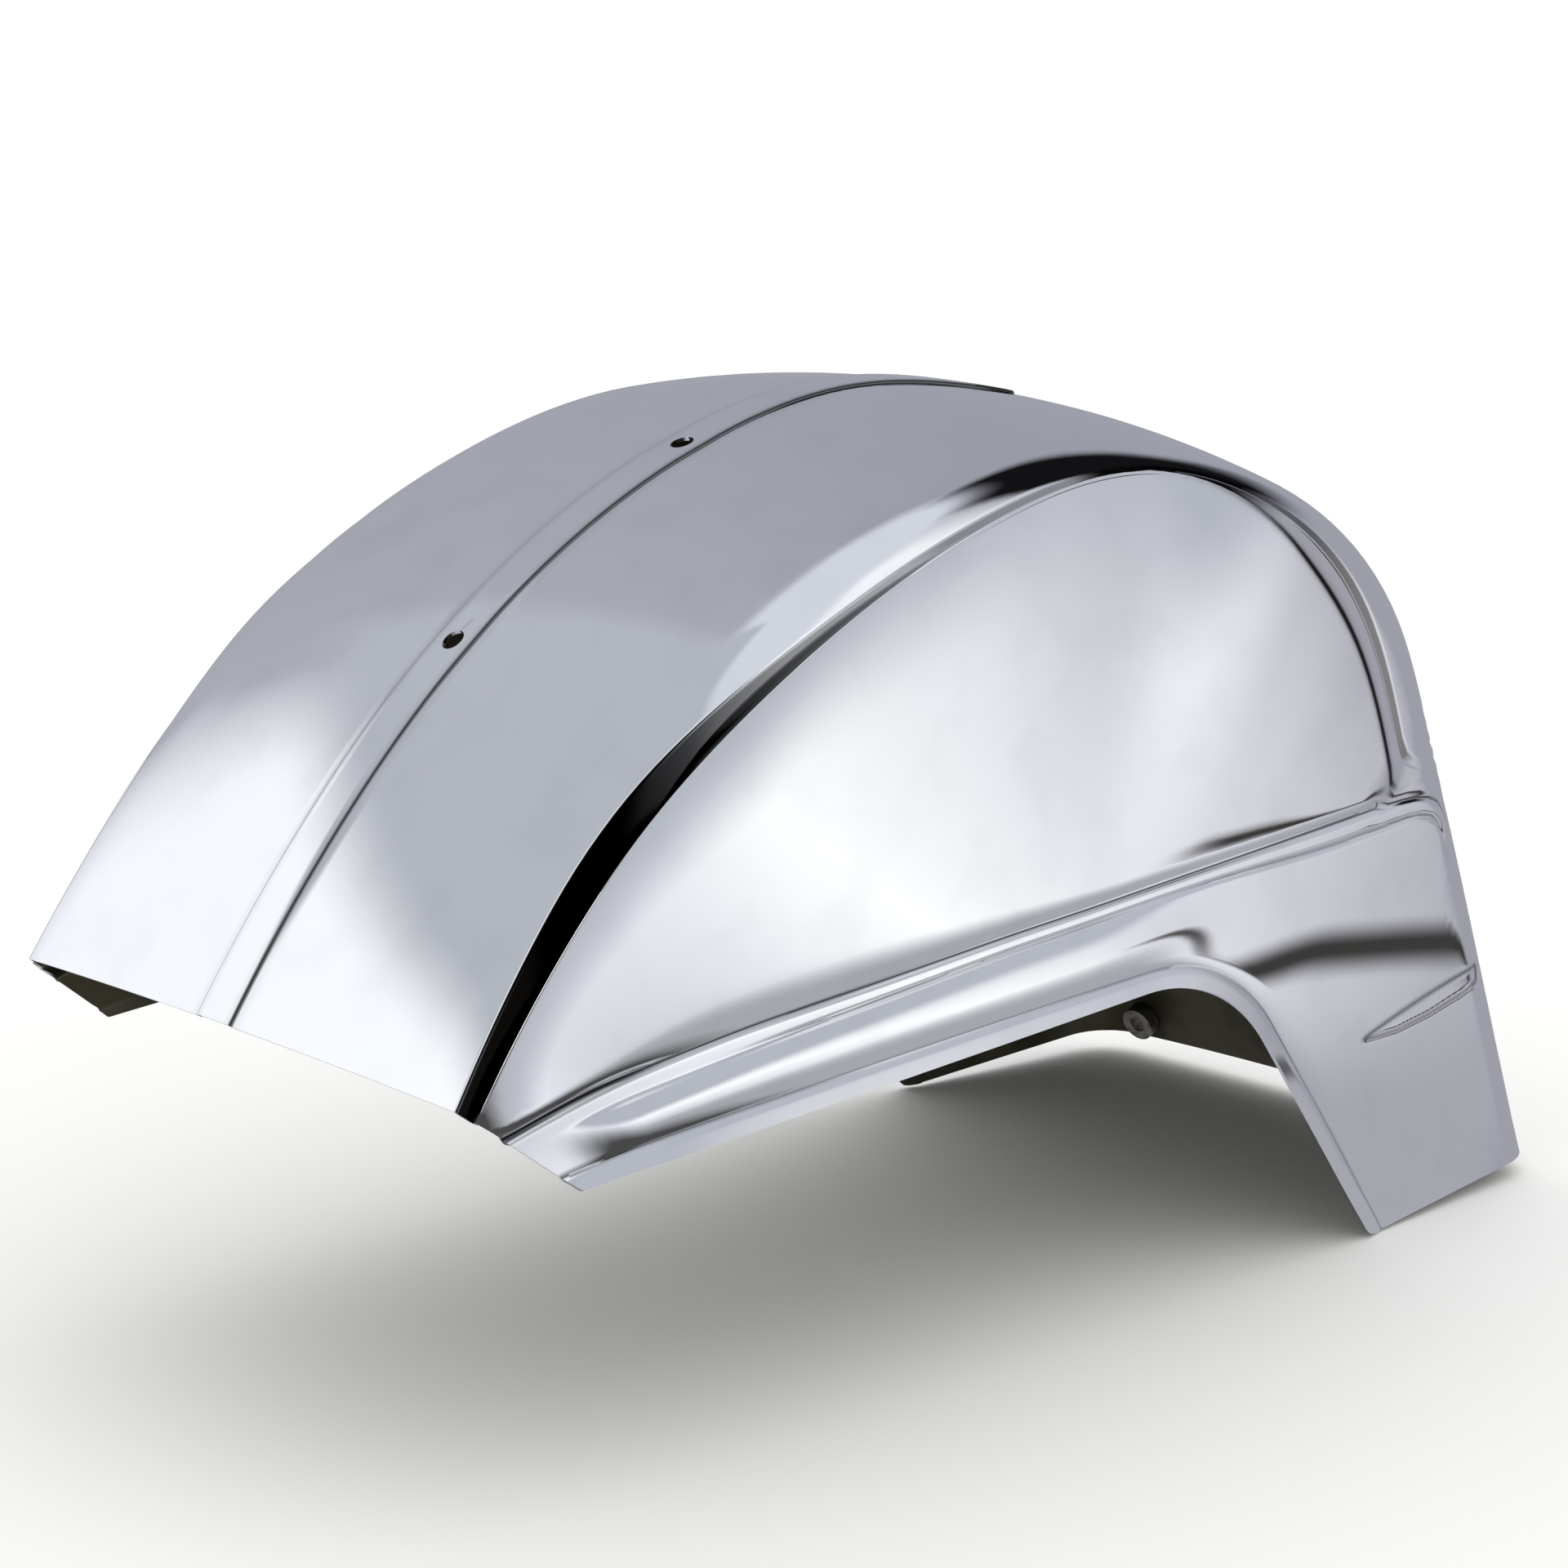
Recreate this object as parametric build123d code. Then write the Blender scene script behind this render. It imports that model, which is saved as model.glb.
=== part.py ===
from build123d import *
from math import cos, exp, hypot, log, pi, radians, sin
import os

# Front mudguard of a motor scooter, pressed from one sheet, with a nut welded inside its tail.
# All sizes are in millimetres. The origin is the centre of the fork hole, on the outer face of the
# fork seat. +X points to the rear of the scooter, +Z up and -Y to its left.

# Sheet and section
sheet = 1.2                  # thickness of the pressed steel
corner_half_width = 111.0    # half the width at the crown's corners, at the front
corner_taper = 6.0           # how much less that is at the tail
edge_half_width = 117.0      # half the width at the lower edge, at the front
edge_taper = 4.0             # how much less that is at the tail
corner_reach = 17.0          # length of the corner's round, each way from the corner
end_drop = 7.0               # drop of the crown from spine to corner, at both ends
middle_drop = 15.5           # the same drop in the middle

# Fork seat: a flat pressed down into the rear of the crown, square to the steering axis
seat_tilt = 25.0             # lean of the steering axis from the vertical, in degrees
seat_depth = 6.0
seat_radius = 36.0
fork_hole_radius = 21.0
bolt_circle = 57.0
bolt_hole_radius = 3.5
bolt_count = 3

# Side view, as x and z: the spine ahead of and behind the fork seat, then the lower edge
spine_front = [(-351.5, -135.5), (-315.5, -88.5), (-274.5, -46.5), (-222.5, -9.0), (-167.5, 15.5),
               (-108.5, 27.0), (-49.5, 21.0)]
spine_rear = [(43.5, -22.5), (61.5, -46.5), (73.5, -74.5), (104.5, -160.5), (138.5, -254.5)]
skirt_front = (-310.5, -167.5)
arch_top = (-45.0, -152.5)
tail_foot = (34.5, -262.0)
arch_radius = 66.0
foot_radius = 6.5
front_radius = 3.0

# Crease over the side cheek and waist line below the cheek, as x and z
crease = [(-345.0, -148.0), (-311.5, -101.5), (-282.5, -71.0), (-221.5, -29.5), (-155.5, -2.0), (-99.5, 9.0),
          (-43.0, 2.5), (2.0, -21.5), (30.5, -57.0), (49.0, -109.0)]
waist = [(-340.0, -149.5), (-281.0, -134.0), (-219.0, -127.5), (-81.0, -120.0), (49.0, -112.5)]

# Pressings across the section, measured along the sheet from the crease or the waist, and their heights
crown_fold = 7.0             # where the crown starts to fold into the crease
groove_fold = 3.2
groove_offset = 2.8          # where the crease is deepest
groove_depth = 2.2
crest_height = 3.2           # how far the cheek stands out at its crest, beside the crease
rim_height = 2.6             # how far it stands out at its lower rim
rim_run = 8.0                # length of the round at the rim
cheek_bow = 3.7              # how much more the cheek stands out in the middle
bow_span = 90.0              # width of cheek that has the whole bow
waist_offset = 2.5
waist_depth = 0.5
rib_width = 5.0              # rib along the rear of the waist
rib_height = 1.6
roll_height = 2.6            # roll of the skirt, below the waist
lip_width = 7.0              # lip along the lower edge
lip_flare = 1.4

# Spine strip and the holes in it
strip_width = 16.0
strip_height = 1.2
crest_hole_radius = 3.75
crest_holes = (136.0, 240.0)  # distances along the spine from its front end

# Leaf-shaped recess on each side of the tail, as x and z
leaf_tip = (27.5, -193.0)
leaf_crest = (60.0, -185.5)
leaf_top = (93.0, -180.0)
leaf_belly = [(55.0, -200.0), (94.0, -193.0)]
leaf_depth = 3.0

# Nut welded inside the tail
nut_radius = 6.5
nut_height = 5.0
nut_hole_radius = 3.0
screw_hole_radius = 3.3      # clearance hole in the sheet, under the nut
nut_offset = 81.5            # distance from the middle
nut_rise = 9.0               # height above the tail's lower edge

wide = 400.0                 # reach of the cutting tools, clear of the part
past = 12.0                  # how far the forms run on past the trimmed edges
steps = 24                   # spaces between the cross-sections along the form
# Straight pieces that each curve of a section is drawn with, outside, inside and where there are no pressings
outside_pieces = (1, 1, 4, 4, 1, 1, 4, 2, 2, 1, 1, 1)
inside_pieces = (1, 1, 4, 4, 1, 1, 4, 1, 1, 1, 1, 1)
plain_pieces = (4, 4, 1)

lean = radians(seat_tilt)
fork = Plane(origin=(0, 0, 0), x_dir=(0, 1, 0), z_dir=(sin(lean), 0, cos(lean)))
crown_point = (seat_depth * sin(lean), seat_depth * cos(lean))

# The side view is drawn flat and stood up on the middle plane.
spine = Spline(*spine_front, crown_point, *spine_rear)
edge = FilletPolyline(skirt_front, arch_top, tail_foot, radius=arch_radius)
crease_line = Spline(*crease)
waist_line = Spline(*waist)


def ease(x):
    x = max(0.0, min(1.0, x))
    return x * x * (3 - 2 * x)


def turning(test, low, high):
    # The place in a range from which the test holds.
    for step in range(30):
        middle = (low + high) / 2
        if test(middle):
            high = middle
        else:
            low = middle
    return high


def upright(point):
    return Vector(point.X, 0, point.Y)


def place(curve, distance):
    return upright(curve.position_at(distance, PositionMode.LENGTH))


def heading(curve, distance):
    return upright(curve.tangent_at(distance, PositionMode.LENGTH))


def slab(face):
    return extrude(Plane.XZ * face, wide / 2, both=True)


def on_curve(points, t):
    # The place at a share of the Bezier curve with these control points.
    while len(points) > 1:
        points = [a + (b - a) * t for a, b in zip(points, points[1:])]
    return points[0]


class Section:
    # One cross-section, in the plane that joins the spine to the lower edge at the same share of each.
    # Its places are y and the depth below the spine. Reach is the distance from the spine along the sheet.
    def __init__(self, share):
        self.share = share
        self.top = place(spine, share * spine.length)
        low = place(edge, share * edge.length)
        self.down = (low - self.top).normalized()
        ahead = heading(spine, share * spine.length)
        self.depth = (low - self.top).length
        # A step square to the crown is this much longer when it is measured along the section.
        self.stretch = 1 / (self.down.X * ahead.Z - self.down.Z * ahead.X)
        self.plane = Plane(origin=self.top, x_dir=(0, 1, 0), z_dir=(self.down.Z, 0, -self.down.X))
        self.half = corner_half_width - corner_taper * share ** 2
        self.foot = edge_half_width - edge_taper * share ** 3
        swell = cos(pi * max(-0.5, min(0.5, (share - 0.5) / 0.82))) ** 2
        self.drop = end_drop + (middle_drop - end_drop) * swell
        self.legs = self.plain(0)
        crown, corner, wall = [Bezier(*leg) for leg in self.legs]
        self.corner_start = crown.length
        self.corner_end = crown.length + corner.length
        self.edge_reach = self.corner_end + wall.length - past
        self.base = Wire([crown, corner, wall])

    def at(self, y, q):
        return self.plane.from_local_coords(Vector(y, q, 0))

    def crown(self, y):
        return self.drop * (y / self.half) ** 2

    def plain(self, grow):
        # Crown, corner round and side wall without pressings, moved out by grow.
        y1 = self.half - corner_reach
        lift = grow * self.stretch
        q1 = self.crown(y1) - lift
        slope = 2 * self.drop * y1 / self.half ** 2
        flare = (self.foot - self.half) / (self.depth - self.drop)
        q2 = self.drop + corner_reach
        y2 = self.half + flare * corner_reach + grow
        qm = (q1 + slope * (y2 - y1 - flare * q2)) / (1 - slope * flare)
        ym = y2 + flare * (qm - q2)
        q3 = self.depth + past / hypot(1, flare)
        y3 = y2 + flare * (q3 - q2)
        pull = 0.62
        crown = [Vector(0, -lift), Vector(y1 / 2, -lift), Vector(y1, q1)]
        corner = [Vector(y1, q1), Vector(y1 + pull * (ym - y1), q1 + pull * (qm - q1)),
                  Vector(y2 + pull * (ym - y2), q2 + pull * (qm - q2)), Vector(y2, q2)]
        return [crown, corner, [Vector(y2, q2), Vector(y3, q3)]]

    def lies_behind(self, point):
        from_top = upright(point) - self.top
        return from_top.X * self.down.Z < from_top.Z * self.down.X

    def reach_of(self, line):
        # Reach of the place where a line of the side view crosses the section.
        crossing = line @ turning(lambda t: self.lies_behind(line @ t), 0, 1)
        depth = (upright(crossing) - self.top).dot(self.down)
        return turning(lambda reach: self.point(reach).Y > depth, 0, self.edge_reach)

    def along(self, reach):
        return self.base.tangent_at(reach, PositionMode.LENGTH)

    def point(self, reach, height=0.0):
        spot = self.base.position_at(reach, PositionMode.LENGTH)
        if height:
            way = self.along(reach)
            spot += Vector(way.Y, -way.X) * height
        return spot

    def leg(self, reach, height, slope, next_reach, next_height, next_slope):
        # Curve over the sheet from one reach to another, with its height and slope at both ends.
        ends = []
        for r, h, rise in ((reach, height, slope), (next_reach, next_height, next_slope)):
            way = self.along(r)
            ends.append((self.point(r, h), (way + Vector(way.Y, -way.X) * rise) * ((next_reach - reach) / 3)))
        (start, way_out), (end, way_in) = ends
        return [start, start + way_out, end - way_in, end]

    def wire(self, legs, counts):
        # The legs in straight pieces, on both sides of the spine, closed below.
        line = legs[0][:1]
        for leg, count in zip(legs, counts):
            line += [on_curve(leg, (n + 1) / count) for n in range(count)]
        left = [self.at(-p.X, p.Y) for p in line[:0:-1]]
        return Wire.make_polygon(left + [self.at(p.X, p.Y) for p in line])


stations = [i / steps for i in range(steps + 1)]
sections = [Section(share) for share in stations]
heel = turning(lambda share: not Section(share).lies_behind(crease_line @ 1), 0.6, 0.9) - 0.005
heel_section = Section(heel)
heel_reaches = [heel_section.reach_of(line) for line in (crease_line, waist_line)]


def line_reaches(section):
    # Reach of the crease and the waist. Behind the cheek both run on, side by side, down the tail.
    if section.share <= heel:
        crease_reach, waist_reach = [section.reach_of(line) for line in (crease_line, waist_line)]
        gap = waist_reach - crease_reach
    else:
        crease_reach = heel_reaches[0]
        gap = heel_reaches[1] - crease_reach - 750 * (section.share - heel)
    if section.share > 0.5:
        gap = 10 + 8 * log(1 + exp((gap - 10) / 8))
    return crease_reach, crease_reach + gap


lines = [line_reaches(section) for section in sections]


def slants(i):
    # A line that crosses the sections at a slant is this much wider along them.
    j, k = max(i - 1, 0), min(i + 1, len(stations) - 1)
    lengths = [line.length / heel * (stations[k] - stations[j]) for line in (crease_line, waist_line)]
    return [hypot(1, (lines[k][n] - lines[j][n]) / lengths[n]) for n in (0, 1)]


def pressed(i):
    # The half section with all its pressings, from the spine to below the lower edge.
    section, share = sections[i], stations[i]
    crease_reach, waist_reach = lines[i]
    crease_slant, waist_slant = slants(i)
    behind = 1 - ease((share - heel + 0.03) / 0.06)
    cheek = (0.8 + 0.2 * ease(share / 0.06)) * behind
    rib_end = 1 - ease((share - heel) / 0.06)
    rib = rib_height * ease((share - 0.12) / 0.2) * rib_end
    roll = roll_height * ease((share - 0.02) / 0.05) * (1 - ease((share - 0.5) / 0.16))
    point = section.point
    sideways = Vector(1, 0)

    # Spine strip and crown
    half = strip_width / 2
    lift = strip_height * section.stretch
    y1 = section.half - corner_reach
    ym = (half + y1) / 2
    foot = Vector(half, section.crown(half))
    brow = Vector(half, foot.Y - lift)
    legs = [[Vector(0, -lift), Vector(half / 2, -lift), brow], [brow, foot]]
    legs.append([foot, Vector(ym, foot.Y + 2 * section.drop * half / section.half ** 2 * (ym - half)),
                 section.legs[0][2]])

    # Corner, crease and cheek
    fold = crease_reach - crown_fold * crease_slant
    legs.append(section.leg(section.corner_start, 0, 0, fold, 0, 0))
    bottom = point(crease_reach - groove_offset * crease_slant,
                   -groove_depth * (0.6 + 0.4 * ease(share / 0.05)) * behind)
    legs.append([point(fold), point(crease_reach - groove_fold * crease_slant), bottom])
    way = section.along(crease_reach)
    outwards = (Vector(way.Y, -way.X) + sideways).normalized()
    crest = point(crease_reach) + outwards * crest_height * cheek
    rim_reach = waist_reach - 1
    span = rim_reach - crease_reach
    rim = point(rim_reach) + sideways * rim_height * cheek
    bow = cheek_bow * ease(span / bow_span) * cheek
    knee = (crest + rim) * 0.5 + sideways * 2 * bow
    stop = 1 - min(rim_run / span, 0.45)
    to_knee = crest + (knee - crest) * stop
    turn = to_knee + (knee + (rim - knee) * stop - to_knee) * stop
    domed = [crest, crest + (to_knee - crest) * (2 / 3), turn + (to_knee - turn) * (2 / 3), turn]
    flat = section.leg(crease_reach, 0, 0, crease_reach + span * stop, 0, 0)
    face = [a + (b - a) * cheek for a, b in zip(flat, domed)]
    legs.append([bottom, face[0]])
    legs.append(face)

    # Waist, rib, skirt and lip
    valley = waist_reach + waist_offset * waist_slant
    sunk = -waist_depth * rib_end * ease(share / 0.06)
    legs.append([face[3], rim, point(valley, sunk)])
    below = valley + rib_width * waist_slant
    rise = 4 * rib / (below - valley)
    legs.append(section.leg(valley, sunk, rise, below, 0, -rise))
    lip_reach = section.edge_reach - lip_width
    part_way = (below + lip_reach) / 2
    swing = pi * roll / (lip_reach - below)
    legs.append(section.leg(below, 0, swing, part_way, roll, 0))
    legs.append(section.leg(part_way, roll, 0, lip_reach, 0, -swing))
    run = lip_width + past - 1
    legs.append([point(lip_reach), point(lip_reach + run, lip_flare * run / lip_width)])
    return legs


def inset_legs(legs, stretch, inset):
    # The same legs moved in square to the sheet, each corner along the middle of its two sides.
    chain = [Vector(p.X, p.Y / stretch) for p in legs[0][:1] + [p for leg in legs for p in leg[1:]]]
    ways = [(b - a).normalized() for a, b in zip(chain, chain[1:])]
    moved = []
    for n, spot in enumerate(chain):
        a, b = ways[max(n - 1, 0)], ways[min(n, len(ways) - 1)]
        inwards = Vector(-a.Y - b.Y, a.X + b.X) * (inset / (1 + a.dot(b)))
        moved.append(Vector(spot.X + inwards.X, (spot.Y + inwards.Y) * stretch))
    result = []
    for leg in legs:
        result.append(moved[:len(leg)])
        moved = moved[len(leg) - 1:]
    return result


def run_on(wires, by):
    # The form through the wires, run on past both ends, so that the side outline trims it.
    first = wires[0].translate(heading(spine, 0) * -by)
    last = wires[-1].translate(heading(spine, spine.length) * by)
    return Solid.make_loft([first] + wires + [last])


def form(inset):
    wires = []
    for i, section in enumerate(sections):
        legs = pressed(i)
        if inset:
            wires.append(section.wire(inset_legs(legs, section.stretch, inset), inside_pieces))
        else:
            wires.append(section.wire(legs, outside_pieces))
    return run_on(wires, past)


def plain_tail(grow):
    return run_on([s.wire(s.plain(grow), plain_pieces) for s in sections if s.share > 0.7], past)


def outline_face():
    nose = Vector(*spine_front[0])
    toe = Vector(*skirt_front)
    arch = Vector(*arch_top)
    foot = Vector(*tail_foot)
    heel = Vector(*spine_rear[-1])
    ahead = nose + (nose - toe)
    behind = heel + (heel - foot) * 0.5
    face = make_face(Polyline(ahead, toe, arch, foot, behind, (behind.X, wide / 2), (ahead.X, wide / 2),
                              close=True))
    for point, radius in ((toe, front_radius), (arch, arch_radius), (foot, foot_radius)):
        face = fillet(face.vertices().sort_by_distance(point)[0], radius)
    return face


def leaf_face(grow):
    tip = (leaf_tip[0] - 2 * grow, leaf_tip[1])
    top = (leaf_top[0] + grow, leaf_top[1] + grow)
    upper = ThreePointArc(tip, (leaf_crest[0], leaf_crest[1] + grow), top)
    lower = Bezier(tip, *[(x + grow, z - grow) for x, z in leaf_belly], top)
    return make_face([upper, lower])


def filled(inset):
    # The whole body as a filled form, inset by nothing for the outside or by the sheet for the inside.
    return form(inset) - (slab(leaf_face(inset)) - plain_tail(-leaf_depth - inset))


outside = filled(0) & slab(outline_face())
outside -= fork * Pos(0, 0, wide / 2) * Cylinder(seat_radius, wide)
inside = filled(sheet)
inside -= fork * Pos(0, 0, wide / 2 - sheet) * Cylinder(seat_radius + sheet, wide)
shell = outside - inside

for distance in crest_holes:
    ahead = heading(spine, distance)
    crest = Plane(origin=place(spine, distance), x_dir=(0, 1, 0), z_dir=(-ahead.Z, 0, ahead.X))
    shell -= crest * Cylinder(crest_hole_radius, 20)
shell -= fork * Cylinder(fork_hole_radius, 20)
for spot in PolarLocations(bolt_circle / 2, bolt_count):
    shell -= fork * spot * Cylinder(bolt_hole_radius, 20)

# The nut stands square on the inner face of the tail's rear plate, over a hole in the sheet.
low = Section(1 - nut_rise / spine.length)
slope = 2 * low.drop * nut_offset / low.half ** 2
across = low.at(1, slope) - low.at(0, 0)
inwards = across.cross(heading(spine, spine.length - nut_rise))
inner_face = low.crown(nut_offset) + sheet * low.stretch
seat = Plane(origin=low.at(nut_offset, inner_face), z_dir=inwards)
shank = seat * Pos(0, 0, (nut_height - sheet / 2) / 2) * Cylinder(nut_radius, nut_height + sheet / 2)
nut = shank - seat * Cylinder(nut_hole_radius, 4 * nut_height) - shell
shell -= seat * Cylinder(screw_hole_radius, 4 * sheet)

os.makedirs("parts", exist_ok=True)
export_step(shell, "parts/mudguard_shell.step")
export_step(nut, "parts/weld_nut.step")
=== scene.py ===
import bpy
import math
import numpy as np
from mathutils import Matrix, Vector
from types import SimpleNamespace


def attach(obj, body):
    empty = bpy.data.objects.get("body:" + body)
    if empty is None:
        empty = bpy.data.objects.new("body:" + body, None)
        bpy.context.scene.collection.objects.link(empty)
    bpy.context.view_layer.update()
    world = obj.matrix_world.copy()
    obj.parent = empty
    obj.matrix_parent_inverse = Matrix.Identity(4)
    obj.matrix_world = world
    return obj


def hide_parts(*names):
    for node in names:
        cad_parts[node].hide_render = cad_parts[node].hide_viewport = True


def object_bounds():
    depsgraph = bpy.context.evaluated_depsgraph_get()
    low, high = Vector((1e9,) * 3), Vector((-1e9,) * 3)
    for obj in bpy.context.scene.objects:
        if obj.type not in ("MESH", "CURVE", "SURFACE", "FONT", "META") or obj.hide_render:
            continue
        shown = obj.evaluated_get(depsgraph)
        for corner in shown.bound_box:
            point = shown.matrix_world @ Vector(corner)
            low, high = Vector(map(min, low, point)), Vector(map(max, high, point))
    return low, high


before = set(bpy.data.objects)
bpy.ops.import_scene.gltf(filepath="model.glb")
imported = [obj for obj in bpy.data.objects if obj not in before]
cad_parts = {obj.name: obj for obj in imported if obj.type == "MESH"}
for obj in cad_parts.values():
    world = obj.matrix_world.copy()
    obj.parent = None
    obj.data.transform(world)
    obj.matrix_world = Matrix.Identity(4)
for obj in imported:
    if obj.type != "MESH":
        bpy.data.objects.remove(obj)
cadBox = [list(corner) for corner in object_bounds()]
mm = 0.001
print("frame loaded")


def toLinear(hexColour):
    values = [int(hexColour[i:i + 2], 16) / 255 for i in (1, 3, 5)]
    return tuple(c / 12.92 if c <= 0.04045 else ((c + 0.055) / 1.055) ** 2.4 for c in values) + (1.0,)


def addNode(tree, kind, settings=None, inputs=None, links=None):
    node = tree.nodes.new(kind)
    for name, value in (settings or {}).items():
        setattr(node, name, value)
    for name, value in (inputs or {}).items():
        node.inputs[name].default_value = value
    for name, socket in (links or {}).items():
        tree.links.new(socket, node.inputs[name])
    return node


def newMaterial(name):
    material = bpy.data.materials.new(name)
    material.use_nodes = True
    tree = material.node_tree
    tree.nodes.clear()
    return material, tree, addNode(tree, "ShaderNodeOutputMaterial")


def pickOnly(thing):
    if bpy.context.object and bpy.context.object.mode != "OBJECT":
        bpy.ops.object.mode_set(mode="OBJECT")
    bpy.ops.object.select_all(action="DESELECT")
    thing.select_set(True)
    bpy.context.view_layer.objects.active = thing


def applyModifier(thing, kind, **settings):
    pickOnly(thing)
    modifier = thing.modifiers.new(kind.title(), kind)
    for name, value in settings.items():
        setattr(modifier, name, value)
    bpy.ops.object.modifier_apply(modifier=modifier.name)


def noisePattern(tree, size, detail):
    # soft noise with patches of the given size in millimetres
    place = addNode(tree, "ShaderNodeTexCoord")
    return addNode(tree, "ShaderNodeTexNoise", inputs={"Scale": 1 / (size * mm), "Detail": detail},
                   links={"Vector": place.outputs["Object"]})


def unevenFilm(tree, look):
    # patches of film, from 0 where there is none to 1, and the metal's colour with them
    noise = noisePattern(tree, look["filmSize"], look["filmDetail"])
    film = addNode(tree, "ShaderNodeMapRange", settings=dict(interpolation_type="SMOOTHSTEP"),
                   inputs={"From Min": look["filmFrom"], "From Max": look["filmFull"]},
                   links={"Value": noise.outputs[0]})
    colour = addNode(tree, "ShaderNodeMixRGB", links={0: film.outputs[0]},
                     inputs={1: toLinear(look["clean"]), 2: toLinear(look["filmed"])})
    return film, colour


# the near-black colour below is painted shade, laid into the folds in place of dark reflections
plateLook = dict(
    clean="#F5F6F8", filmed="#F0F1F3", paintedShade="#15130F", metallic=1.0, roughness=(0.015, 0.035),
    filmSize=24, filmDetail=2.0, filmFrom=0.45, filmFull=0.75,
    waveSize=38, waveDetail=1.0, waveHeight=0.25, waveStrength=0.05,
)


def chromePlate(look):
    # bright chromium over polished steel: a clear mirror, faintly wavy, with thin haze, and painted shade:
    # its folds are darkened in the colour to stand in for the dark reflections there
    material, tree, out = newMaterial("brightChromePlate")
    haze, plate = unevenFilm(tree, look)
    # the amount read here is painted shade, set on the mesh along the folds and the leaf's outline
    fold = addNode(tree, "ShaderNodeAttribute", settings=dict(attribute_name="paintedShade"))
    colour = addNode(tree, "ShaderNodeMixRGB", inputs={2: toLinear(look["paintedShade"])},
                     links={0: fold.outputs["Fac"], 1: plate.outputs[0]})
    polish = addNode(tree, "ShaderNodeMapRange", links={"Value": haze.outputs[0]},
                     inputs={"To Min": look["roughness"][0], "To Max": look["roughness"][1]})
    wave = noisePattern(tree, look["waveSize"], look["waveDetail"])
    bump = addNode(tree, "ShaderNodeBump", links={"Height": wave.outputs[0]},
                   inputs={"Strength": look["waveStrength"], "Distance": look["waveHeight"] * mm})
    shader = addNode(tree, "ShaderNodeBsdfPrincipled", inputs={"Metallic": look["metallic"]},
                     links={"Base Color": colour.outputs[0], "Roughness": polish.outputs[0],
                            "Normal": bump.outputs[0]})
    tree.links.new(shader.outputs[0], out.inputs[0])
    return material


insideLook = dict(clean="#4E4937", filmed="#36311F", metallic=0.7, roughness=(0.42, 0.6),
                  filmSize=30, filmDetail=3.0, filmFrom=0.35, filmFull=0.7)


def dullInside(look):
    # unpolished inside: thin dull plating under an uneven brown film
    material, tree, out = newMaterial("dullSteelInside")
    film, colour = unevenFilm(tree, look)
    rough = addNode(tree, "ShaderNodeMapRange", links={"Value": film.outputs[0]},
                    inputs={"To Min": look["roughness"][0], "To Max": look["roughness"][1]})
    shader = addNode(tree, "ShaderNodeBsdfPrincipled", inputs={"Metallic": look["metallic"]},
                     links={"Base Color": colour.outputs[0], "Roughness": rough.outputs[0]})
    tree.links.new(shader.outputs[0], out.inputs[0])
    return material


nutLook = dict(clean="#8A8778", filmed="#4A4535", metallic=0.9, roughness=0.45,
               filmSize=6, filmDetail=4.0, filmFrom=0.35, filmFull=0.7)


def nutSteel(look):
    # zinc-coloured weld nut, greyed by the same film
    material, tree, out = newMaterial("greyedNutSteel")
    colour = unevenFilm(tree, look)[1]
    shader = addNode(tree, "ShaderNodeBsdfPrincipled", links={"Base Color": colour.outputs[0]},
                     inputs={"Metallic": look["metallic"], "Roughness": look["roughness"]})
    tree.links.new(shader.outputs[0], out.inputs[0])
    return material


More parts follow.
